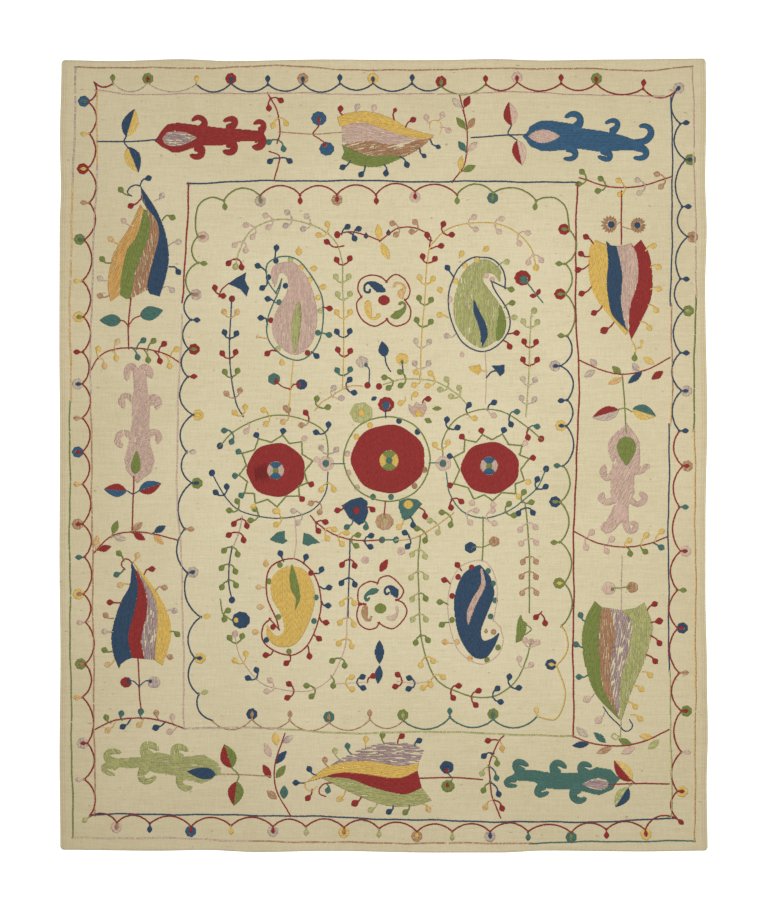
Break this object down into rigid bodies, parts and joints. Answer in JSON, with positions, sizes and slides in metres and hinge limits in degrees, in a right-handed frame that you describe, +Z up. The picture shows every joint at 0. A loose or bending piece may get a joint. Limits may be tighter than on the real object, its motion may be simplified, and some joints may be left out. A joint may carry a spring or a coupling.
{
  "type": "embroidered kilim rug",
  "caption": "Flat-woven cream rug laid out flat, with embroidered medallions, paisleys, fans and vines in coloured wool.",
  "frame": {"origin": "middle of the underside, on the floor", "axes": "+X across the rug, +Y along it towards its top edge, +Z up from the floor"},
  "size_m": [1.6062, 1.9664, 0.0044],
  "materials": {
    "cream_cloth": "matte flat weave",
    "red_wool": "matte stitched wool",
    "navy_wool": "matte stitched wool",
    "blue_wool": "matte stitched wool",
    "teal_wool": "matte stitched wool",
    "green_wool": "matte stitched wool",
    "light_green_wool": "matte stitched wool",
    "yellow_wool": "matte stitched wool",
    "gold_wool": "matte stitched wool",
    "pink_wool": "matte stitched wool",
    "mauve_wool": "matte stitched wool",
    "brown_wool": "matte stitched wool"
  },
  "bodies": {
    "root": {"rug_cloth": "cream_cloth"}
  },
  "joints": []
}
